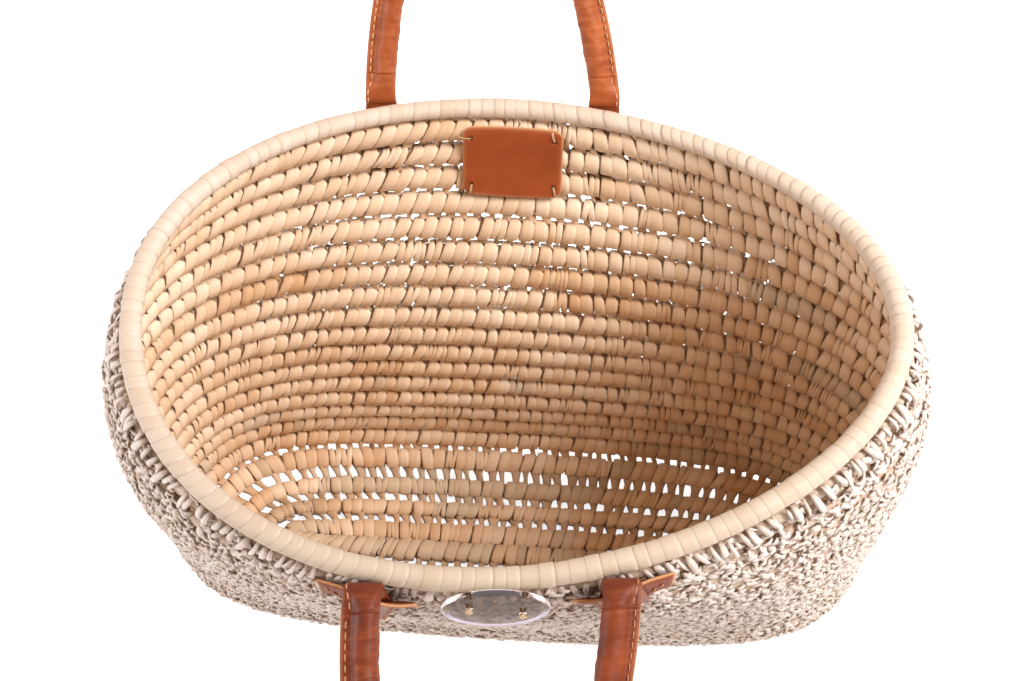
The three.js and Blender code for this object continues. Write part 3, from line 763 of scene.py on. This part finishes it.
leather_group, given, result = effect("worn_leather", {
    "Tan": (0.47, 0.125, 0.034, 1),
    "Dark": (0.23, 0.045, 0.011, 1),
    "Worn": (0.68, 0.28, 0.12, 1),
    "Cut Edge": (0.66, 0.34, 0.17, 1),
    "Edge": 0,
    "Wrinkles": 1,
})
uv = leather_group.nodes.new("ShaderNodeUVMap").outputs[0]
spot = leather_group.nodes.new("ShaderNodeTexCoord").outputs["Object"]
pores, clouds = noise(spot, 1500, 2, 0.5), noise(spot, 45, 3, 0.6)
creases = maths("MULTIPLY", noise(stretched(uv, (45, 330, 1)), 1, 4, 0.6), given["Wrinkles"])
hide = mixed(maths("MULTIPLY_ADD", clouds, 2.4, -0.85), given["Dark"], given["Tan"])
hide = mixed(maths("MULTIPLY_ADD", creases, 1.6, -0.75), hide, given["Worn"])
rough = maths("MULTIPLY_ADD", pores, 0.35, 0.22)
fill(result, {
    "Colour": mixed(given["Edge"], hide, given["Cut Edge"]),
    "Height": maths("MULTIPLY_ADD", pores, 0.25, creases),
    "Roughness": maths("MULTIPLY_ADD", clouds, 0.2, rough),
})


def leather_material(name, tan, dark, worn, wrinkles, bump):
    """Leather in its own three browns, with creases across it and pores that a bump raises."""
    values = {"Tan": tan, "Dark": dark, "Worn": worn, "Wrinkles": wrinkles}
    return with_effect(name, leather_group, values, 0.7, bump, 0.28)


# The front leather is a darker copy of the back leather: painted shade on the front handles and front
# patches, which get less light.
handle_leathers = {
    "back": leather_material(
        "back_leather", (0.47, 0.120, 0.030, 1), (0.27, 0.052, 0.012, 1), (0.64, 0.23, 0.08, 1), 1, 0.0005
    ),
    "front": leather_material(
        "front_leather", (0.26, 0.046, 0.009, 1), (0.11, 0.017, 0.004, 1), (0.40, 0.095, 0.024, 1),
        1, 0.0005,
    ),
}
thread_leaf = leaf_material("sewing_thread", (0.76, 0.47, 0.29, 1), (0.40, 0.17, 0.07, 1), 0.5, 0.0001)
thread_tone = {"back": 0.1, "front": 0.8}


def at_hinge(side, x, y, z, leaning=False):
    """Place given along a hinge, outwards and up from its middle. A leaning place is first
    turned outwards about the hinge by the angle at which its handle rests."""
    along = -np.array(hinges[side]["axis"])
    outward = np.cross((0, 0, 1), along)
    x, y, z = np.broadcast_arrays(x, y, z)
    if leaning:
        turned = np.radians(lean[side])
        y, z = y * np.cos(turned) + z * np.sin(turned), z * np.cos(turned) - y * np.sin(turned)
    up = z[..., None] * np.array((0, 0, 1))
    return np.array(hinges[side]["pos_m"]) + x[..., None] * along + y[..., None] * outward + up


def hinge_spacing(side):
    """Distance between the feet of a handle along its hinge."""
    return (feet[side][1] - feet[side][0]) / abs(hinges[side]["axis"][0])


def on_roll(side, turn, u, w):
    """Place on a handle: half an ellipse from one foot to the other in the leaning plane, at a
    distance out of the loop and at a distance across it. The loop is drawn in a little on its
    way up and hangs a few millimetres to one side."""
    half = (hinge_spacing(side) - flange_reach) / 2
    out = unit(np.stack((-handle_rise * np.cos(turn), half * np.sin(turn)), -1))
    middle = swayed[side] * np.sin(turn) - half * np.cos(turn) * (1 - pinched[side] * np.sin(turn))
    height = handle_rise * np.sin(turn) + out[..., 1] * u
    return at_hinge(side, middle + out[..., 0] * u, w, height, True)


# Section of the roll: a round, two layers of flange with a groove between them at the edge.
bend = np.radians(np.linspace(22, 338, 23))
lip = np.array((0.0001, 0.0010, 0.0017, 0.0019, 0.0017))
reach_out = np.array((0.0117, 0.0119, 0.0114, 0.0098, 0.0079))
roll_u = np.concatenate((reach_out, roll_radius * np.cos(bend), reach_out[::-1]))
roll_w = np.concatenate((lip, roll_radius * np.sin(bend), -lip[::-1]))
lip_edge = (1, 0.7, 0.2, 0, 0)
round_part = np.pad(np.ones(len(bend)), len(lip))
roll_edge = np.concatenate((lip_edge, np.zeros(len(bend)), lip_edge[::-1]))
roll_start = np.arcsin(roll_foot / handle_rise)
roll_length = 0.36


def roll_rings(side, turn):
    """Rings of the rolled leather, whose round part swells and creases by a few sines of the
    place along it and round it."""
    wave = np.zeros((len(turn), len(roll_u)))
    around = np.arctan2(roll_w, roll_u)
    for size, count in ((0.00022, 9), (0.00018, 23), (0.00014, 47), (0.0001, 83)):
        phase, tilt = rng.uniform(0, 6, 2)
        wave += size * np.sin(count * turn[:, None] * 2 + phase + tilt * np.sin(around + phase))
    inner = np.clip(np.minimum(turn - turn[0], turn[-1] - turn) * 12, 0, 1)[:, None]
    stretch = 1 + wave * inner / roll_radius * round_part
    return on_roll(side, turn[:, None], roll_u * stretch, roll_w * stretch)


def circle(a, first, second):
    """Places at angles round a circle, or an oval, on two directions."""
    return np.cos(a)[..., None] * first[..., None, :] + np.sin(a)[..., None] * second[..., None, :]


def stitch_line(line, normal, pitch, length, radius):
    """Rings of thread stitches along a line: each is a short round strand, spaced by the pitch,
    whose two ends go down into the leather."""
    run = run_along(line)
    middles = np.arange(pitch / 2, run[-1] - length / 2, pitch)
    t = np.array((-1, -0.8, 0, 0.8, 1))
    centre, up = read_off(middles[:, None] + t * length / 2, run, line, normal)
    up = unit(up)
    side = unit(np.cross(np.gradient(centre, axis=1), up))
    centre = centre + up * (radius * (0.7 - 2.2 * t**6))[:, None]
    return centre[:, :, None] + radius * circle(round_angles(6), side, up)


# Seam stitches: their pitch, length and radius, and how far out of the loop their line runs.
seam, seam_reach = (0.005, 0.0035, 0.00036), 0.0092
around = np.cumsum(np.hypot(np.diff(roll_u, prepend=roll_u[0]), np.diff(roll_w, prepend=0)))
for side, leather in handle_leathers.items():
    body = side + "_handle"
    turn = np.linspace(roll_start, np.pi - roll_start, 260)
    grain = pairs(around, (turn * roll_length / np.pi)[:, None])
    mesh = tube_mesh(body + "_roll", roll_rings(side, turn), grain, {"edge": roll_edge})
    add_piece(mesh, leather, body, "handle_leather", body + "_leather")

    threads = []
    turn = np.linspace(roll_start, np.pi - roll_start, 600)
    for face in (-1, 1):
        line = on_roll(side, turn, seam_reach, face * flange_half)
        lifted = on_roll(side, turn, seam_reach, face * (flange_half + 0.001))
        threads.append(stitch_line(line, lifted - line, *seam))
    mesh = tube_mesh(body + "_stitches", np.concatenate(threads), 0, {"tone": thread_tone[side]})
    add_piece(mesh, thread_leaf, body, "seam_thread", body + "_seam_thread")

# Rope in the handles: a thin, hard-twisted cord of pale plant fibre, which keeps the leather
# round. It shows only inside the ends of the rolls.
rope, nodes, surface = new_material("handle_rope")
spot = nodes.new("ShaderNodeTexCoord").outputs["Object"]
strands = noise(stretched(spot, (900, 900, 120)), 1, 2)
fibre = mixed(strands, (0.72, 0.6, 0.42, 1), (0.4, 0.3, 0.18, 1))
fill(surface, {"Base Color": fibre, "Roughness": 0.9})
a = round_angles(16)
turn = np.linspace(roll_start + 0.01, np.pi - roll_start - 0.01, 160)[:, None]
strand = 0.0047 * (1 + 0.08 * np.cos(3 * a - turn * 90))
for side in ("back", "front"):
    body = side + "_handle"
    rings = on_roll(side, turn, strand * np.cos(a), strand * np.sin(a))
    add_piece(tube_mesh(body + "_rope", rings, 0, {}), rope, body, "core_rope", body + "_core")


# Patches: flat leather sewn on the outside of the wall below the rim with a U of light thread.
# The neck of the handle lies on each one, and the front ones lift off the wall at the top.
def wall_place(x, row, offset, back):
    """Place on the outside of the wall, back or front, at a place along X and a row. Its angle
    is found by halving the range that holds it."""
    x, row, offset = np.broadcast_arrays(x, row, offset)
    low = np.full(x.shape, 0 if back else np.pi)
    high = low + np.pi
    for _ in range(24):
        middle = (low + high) / 2
        beyond = (wall_surface(middle, row)[..., 0] > x) == back
        low, high = np.where(beyond, middle, low), np.where(beyond, high, middle)
    return wall_surface(low, row) + wall_directions(low, row)[2] * offset[..., None]


def sheet_rings(x, width, lower, upper, offset, half, back, columns, rows, lift=None):
    """Rings of a leather sheet on the wall: one for each column, up its inner face and down its
    outer face between two rows, with its thickness drawn in at the edges."""
    u = np.linspace(-1, 1, columns)[:, None]
    u = np.sign(u) * (1 - (1 - np.abs(u)) ** 1.3)
    t = -np.cos(np.linspace(0, np.pi, rows))
    thin = np.sqrt(np.clip(1 - 0.96 * np.abs(t) ** 14, 0, 1)) * np.sqrt(1 - 0.8 * np.abs(u) ** 20)
    row = (lower(u) + upper(u)) / 2 + (upper(u) - lower(u)) / 2 * t
    middle = offset + (lift(u, t) if lift else 0)
    faces = [middle - half * thin, middle + half * thin]
    inner, outer = (wall_place(x + u * width / 2, row, face, back) for face in faces)
    rings = np.concatenate((inner, outer[:, ::-1]), 1)
    worn = np.maximum(np.abs(t) ** 30, np.abs(u) ** 40) * np.ones_like(row)
    edge = np.concatenate((worn, worn[:, ::-1]), 1)
    place = pairs(u * width / 2, row * row_rise)
    return rings, np.concatenate((place, place[:, ::-1]), 1), edge


def smooth_line(given, count):
    """Smooth run through given stations, a cubic on each stretch whose slope at a station is
    half the step between its neighbours. A station may be a point or a whole ring."""
    given = np.asarray(given, float)
    t = np.linspace(0, len(given) - 1, count)
    i = np.minimum(t.astype(int), len(given) - 2)
    p = (t - i).reshape([-1] + [1] * (given.ndim - 1))
    a, b, c, d = (given[np.clip(i + k, 0, len(given) - 1)] for k in (-1, 0, 1, 2))
    return b + p / 2 * (c - a + p * (2 * a - 5 * b + 4 * c - d + p * (3 * (b - c) + d - a)))


patch_bottom, patch_wing, patch_top = 17.2, 19.35, 20.1
patch_offset, patch_half = 0.0077, 0.0013


def patch_lower(u):
    """Lower edge of a patch: low on a tongue in the middle, and high on a wing at each side."""
    return patch_wing - (patch_wing - patch_bottom) * np.exp(-np.abs(u / 0.42) ** 3)


def neck_rings_at(side, x, end):
    """Rings of a neck, smooth through stations: two on the wall, two past the rim, one on the
    hinge, and then the roll's own. The flat ones are rounded oblongs, thicker on the outside."""
    back = side == "back"
    outer_way = -np.array(hinges[side]["axis"]) * end
    outward = at_hinge(side, 0, 1, 0) - at_hinge(side, 0, 0, 0)
    half_leant = np.radians(lean[side]) / 2
    bent = at_hinge(side, 0, np.cos(half_leant), -np.sin(half_leant)) - at_hinge(side, 0, 0, 0)
    on_wall = unit(wall_place(x, 19.2, 0.01, back) - wall_place(x, 19.2, 0, back))
    place = end * hinge_spacing(side) / 2
    b = np.linspace(0.05, 2 * np.pi - 0.05, len(roll_u))
    flat_u, flat_w = blunt(np.cos(b), 0.6), blunt(np.sin(b), 0.6)
    way_up = []
    hinge_height, hinge_depth = (0.0005, 0.0040) if back else (-0.0012, 0.0026)
    for centre, normal, wide, inner, outer in (
        (wall_place(x, 18.8, 0.0072, back), on_wall, 0.0140, 0.0004, 0.0006),
        (wall_place(x, 19.6, 0.0086, back), on_wall, 0.0118, 0.0010, 0.0022),
        (at_hinge(side, place, -0.0045, -0.0105), outward, 0.0098, 0.0012, 0.0036),
        (at_hinge(side, place, -0.0042, -0.0040), outward, 0.0094, 0.0016, 0.0050),
        (at_hinge(side, place, 0, hinge_height), bent, 0.0092, hinge_depth, 0.0054),
    ):
        depth = np.where(flat_w > 0, outer, inner) * flat_w
        way_up.append(centre + (flat_u * wide)[:, None] * outer_way + depth[:, None] * normal)
    for further in (-0.02, 0, 0.02, 0.04):
        turn = np.array([roll_start + further])
        turn = turn if end < 0 else np.pi - turn
        way_up.append(on_roll(side, turn, roll_u, roll_w))
    return smooth_line(way_up, 41)[:31]


def patch_lift(side, x):
    """How far a patch stands off the wall by its place across and up: most at its top near the
    neck, on the side that faces the middle of the basket."""
    most = 0.0045 if side == "front" else 0.0015
    inward = -np.sign(x)

    def lift(u, t):
        sideways = 0.5 + 0.5 * np.cos(np.pi * np.clip((inward * u - 0.5) / 1.1, -1, 1))
        return most * np.clip((t + 0.6) / 1.6, 0, 1) ** 1.5 * sideways

    return lift


for side in ("back", "front"):
    back = side == "back"
    marks = {"tone": thread_tone[side]}
    for x, hand in zip(feet[side], ("left", "right")):
        corner = side + "_" + hand
        lift = patch_lift(side, x)
        rings, grain, edge = sheet_rings(
            x, patch_width, patch_lower, lambda u: patch_top + 0 * u, patch_offset, patch_half,
            back, 33, 19, lift,
        )
        mesh = tube_mesh(corner + "_patch_leather", rings, grain, {"edge": edge})
        leather = handle_leathers[side]
        add_piece(mesh, leather, "basket", "handle_leather", corner + "_patch")

        end = -1 if (hand == "left") == back else 1
        rings = neck_rings_at(side, x, end)
        run = np.linspace(0, 0.035, len(rings))[:, None]
        edge = roll_edge * np.clip(run * 60 - 1.2, 0, 1)
        mesh = tube_mesh(corner + "_neck", rings, pairs(around, run), {"edge": edge})
        neck = add_piece(mesh, leather, None, "handle_leather", corner + "_patch")

        faces = rings[13:, 4], rings[13:, -5]
        threads = [stitch_line(a, a - b, *seam) for a, b in (faces, faces[::-1])]
        mesh = tube_mesh(corner + "_neck_stitches", np.concatenate(threads), 0, marks)
        thread = add_piece(mesh, thread_leaf, None, "seam_thread", corner + "_patch_thread")
        place = end * hinge_spacing(side) / 2
        for bending in (neck, thread):
            tuple(at_hinge(side, place, -0.0045, -0.008))
            tuple(at_hinge(side, place, 0, 0.008, True))
            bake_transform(bending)

        a = np.linspace(0, np.pi, 240)
        u = -0.8 * blunt(np.cos(a), 0.5)
        row = 19.9 - (19.65 - patch_lower(u)) * np.sqrt(np.sin(a))
        t = 2 * (row - patch_lower(u)) / (patch_top - patch_lower(u)) - 1
        face = patch_offset + patch_half + lift(u, t)
        line, lifted = (wall_place(x + u * patch_width / 2, row, face + k, back) for k in (0, 0.001))
        rings = stitch_line(line, lifted - line, 0.0048, 0.0034, 0.0005)
        mesh = tube_mesh(corner + "_patch_stitches", rings, 0, marks)
        add_piece(mesh, thread_leaf, "basket", "seam_thread", corner + "_patch_thread")

# Label: a small bare plate of brown leather inside the back wall, with round corners, a bowed
# lower edge and a hole at each corner. A strand of raffia ties each corner to the wall.
label_x, label_width, label_offset, label_half = -0.010, 0.064, -0.00776, 0.0011
label_leather = leather_material(
    "label_leather", (0.41, 0.092, 0.024, 1), (0.33, 0.066, 0.017, 1), (0.46, 0.12, 0.04, 1), 0.5, 0.00025
)
raffia = leaf_material("raffia", (0.80, 0.62, 0.42, 1), (0.62, 0.42, 0.24, 1), 1, 0.0002)


def corner_cut(u):
    """How many rows a round corner takes off at a place across the label."""
    share = np.clip((np.abs(u) - 0.8) / 0.2, 0, 1)
    return 0.35 * (1 - np.sqrt(1 - share * share))


def two_sides(way, toward):
    """Two directions square to a way and to each other, the first also square to a third one."""
    side = unit(np.cross(way, toward))
    return side, np.cross(way, side)


def pierce(piece, places, ways, radius):
    """Cuts a round hole right through a piece at each place, along each way."""
    drills = []
    for place, way in zip(places, ways):
        ring = radius * circle(round_angles(24), *two_sides(way, (0.1, 0.2, 1)))
        rings = place + ring + np.array((-0.006, 0.006))[:, None, None] * way
        drill = in_scene(tube_mesh("drill", rings, 0, {}))
        cut = piece.modifiers.new("hole", "BOOLEAN")
        cut.operation, cut.solver, cut.object = "DIFFERENCE", "EXACT", drill
        drills.append(drill)
    graph = bpy.context.evaluated_depsgraph_get()
    cut_mesh = bpy.data.meshes.new_from_object(piece.evaluated_get(graph))
    piece.modifiers.clear()
    piece.data = cut_mesh
    for drill in drills:
        bpy.data.objects.remove(drill)


rings, grain, edge = sheet_rings(
    label_x, label_width, lambda u: 17.55 - 0.12 * (1 - u * u) + corner_cut(u),
    lambda u: 20.35 - corner_cut(u), label_offset, label_half, True, 61, 25,
)
mesh = tube_mesh("bare_label", rings, grain, {"edge": edge})
label = add_piece(mesh, label_leather, "basket", "label_leather", "leather_label")

# Corner, its place across from the middle of the label, its row, and the way its strand leaves.
corners = (
    ("top_left", -0.0272, 19.88, (-1, 0.1)),
    ("top_right", 0.0266, 19.90, (-0.25, 1)),
    ("bottom_left", -0.0262, 17.92, (-0.15, -1)),
    ("bottom_right", 0.0268, 17.98, (0.2, -1)),
)
across_label = np.array([c[1] for c in corners])
label_rows = np.array([c[2] for c in corners])
holes = wall_place(label_x + across_label, label_rows, label_offset, True)
ways = unit(wall_place(label_x + across_label, label_rows, label_offset - 0.01, True) - holes)
pierce(label, holes, ways, 0.0015)

# How far a strand has gone at each of its stations, and how far off the wall's middle it is. The
# rows behind the label are a little lower than the rest.
label_row_height = 0.0178
strand_way = (
    (0.0000, -0.0048), (0.0002, -0.0085), (0.0016, -0.0094),
    (0.0048, -0.0092), (0.0072, -0.0078), (0.0080, -0.0052),
)
t = np.linspace(0, 1, 22)[:, None]
a = round_angles(6)
marks = {"tone": 0.8, "hollow": 0.2}
for corner, x, row, (sideways, up) in corners:
    strands = []
    for shift in (-0.0003, 0.0004):
        start = label_x + x + shift
        line = smooth_line([
            wall_place(start + sideways * far, row + up * far / label_row_height, off, True)
            for far, off in strand_way
        ], len(t))
        first, second = two_sides(unit(np.gradient(line, axis=0)), (0.2, 1, 0.1))
        ring = circle(a + 3 * t + 900 * shift, 0.00042 * first, 0.0003 * second)
        strands.append(line[:, None] + ring)
    grain = pairs(a * 0.0005, t * 0.012)
    mesh = tube_mesh("label_raffia_" + corner, np.stack(strands), grain, marks)
    add_piece(mesh, raffia, "basket", "raffia", "label_tie_" + corner)

# Disc: a clear acrylic round, 54 mm across and 3 mm thick, flat against the front wall. It hangs
# by two thin threads, each with a knot on the outside of its hole.
disc_angle, disc_turn, disc_hole = 1.5 * np.pi, np.radians(20), 0.014
low_corner, high_corner = (np.array(corner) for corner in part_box("clear_disc"))
disc_middle = (low_corner + high_corner) / 2
_, disc_up, disc_out = wall_directions(np.array(disc_angle), np.array(top_row - 1))
disc_side = np.cross(disc_up, disc_out)
disc_x = np.cos(disc_turn) * disc_side - np.sin(disc_turn) * disc_up
disc_y = np.cross(disc_out, disc_x)

acrylic, nodes, surface = new_material("clear_acrylic")
spot = nodes.new("ShaderNodeTexCoord").outputs["Object"]
scuffs = noise(stretched(spot, (900, 250, 400)), 1, 4, 0.7)
at_edge = mesh_mark(nodes, "edge")

# The lower edge is frosted and lilac, with a painted glow from emission that stands for the
# light running through the clear sheet. The face has a dark brown tint, painted shade for the
# shadowed wall behind it.
fill(surface, {
    "Transmission Weight": 1,
    "IOR": 1.08,
    "Base Color": mixed(at_edge, (0.40, 0.32, 0.27, 1), (0.78, 0.76, 0.88, 1)),
    "Roughness": maths("MULTIPLY_ADD", scuffs, 0.05, maths("MULTIPLY", at_edge, 0.6)),
    "Emission Color": mixed(at_edge, (0, 0, 0, 1), (0.62, 0.58, 0.70, 1)),
    "Emission Strength": 0.4,
})

# Section of the disc, from its face on the wall round its edge to the face that shows.
section = np.array((
    (0.0262, -0.0015), (0.0267, -0.0012), (disc_radius, -0.0007), (disc_radius, 0.0007),
    (0.0267, 0.0012), (0.0262, 0.0015), (0.0235, 0.0015), (0.0225, 0.0015),
))
radius, depth = section[:, :1, None], section[:, 1:, None]
around_disc = circle(round_angles(96), disc_x, disc_y)
rings = disc_middle + radius * around_disc + depth * disc_out
# Only the lower part of the edge gets the painted glow.
lower = np.clip(0.2 - 1.6 * (around_disc @ disc_up), 0, 1)
edge = np.array((0, 1, 1, 1, 1, 1, 1, 0))[:, None] * lower
mesh = tube_mesh("acrylic_disc", rings, 0, {"edge": edge})
disc = add_piece(mesh, acrylic, "basket", "clear_acrylic", "clear_disc")
holes = disc_middle + np.array((-1, 1))[:, None] * disc_hole * disc_x
pierce(disc, holes, [disc_out, disc_out], 0.002)

# Knot: a strand that winds twice round and three times over, on top of a stem in the hole.
t = round_angles(72)
wind = 0.00115 + 0.0006 * np.cos(3 * t)
knot = np.stack((wind * np.cos(2 * t), wind * np.sin(2 * t), 0.0008 * np.sin(3 * t)), -1)
sides = two_sides(unit(np.roll(knot, -1, 0) - np.roll(knot, 1, 0)), (0, 0, 1))
knot_rings = knot[:, None] + 0.00048 * circle(round_angles(6), *sides)
knot_rings = disc_out * 0.0030 + knot_rings @ np.stack((disc_x, disc_y, disc_out))
stem_length = np.linspace(-0.0035, 0.0030, 4)[:, None, None]
stem_rings = 0.0007 * circle(round_angles(6), disc_x, disc_y) + stem_length * disc_out
for hole, hand in zip(holes, ("left", "right")):
    for name, rings, closed in (("disc_knot_", knot_rings, True), ("disc_thread_", stem_rings, False)):
        mesh = tube_mesh(name + hand, hole + rings, 0, {"tone": 0.1}, closed)
        add_piece(mesh, raffia, "basket", "raffia", "disc_tie_" + hand)

# Stray fibres: thin ends of leaf that stick out of the stitches and curl, a few on the inside
# and more on the outside.
fibres = 150
fibre_place = rng.uniform(0.02, 0.985, fibres) * coil_end
outside = (rng.random(fibres) < 0.75) & (turn_at(fibre_place) > 5)
direction = np.where(outside, 1, -1)
root = on_coil(fibre_place, rng.uniform(-0.005, 0.005, fibres), direction * 0.0042)
along, across, outward = read_off(fibre_place, coil_length, coil_along, coil_across, coil_out)
away = outward * direction[:, None]
lead, curl = rng.uniform(-1, 1, (2, fibres, 2))
start = unit(away * 0.6 + along * lead[:, :1] + across * lead[:, 1:])
bent = away * 0.2 + along * curl[:, :1] + across * curl[:, 1:]
length = rng.uniform(0.006, 0.017, fibres)[:, None, None]
t = np.linspace(0, 1, 7)[:, None]
line = root[:, None] + length * (start[:, None] * t + 0.45 * bent[:, None] * t**2)
first, second = two_sides(unit(np.gradient(line, axis=1)), away[:, None])
thick = 0.00028 * (1 - 0.75 * t)[..., None]
rings = line[:, :, None] + thick * circle(round_angles(4), first, 0.6 * second)
mesh = tube_mesh("stray_fibres", rings, 0, {"tone": rng.uniform(0, 0.5, fibres)[:, None, None]})
add_piece(mesh, raffia, "basket", "raffia")

low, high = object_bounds()
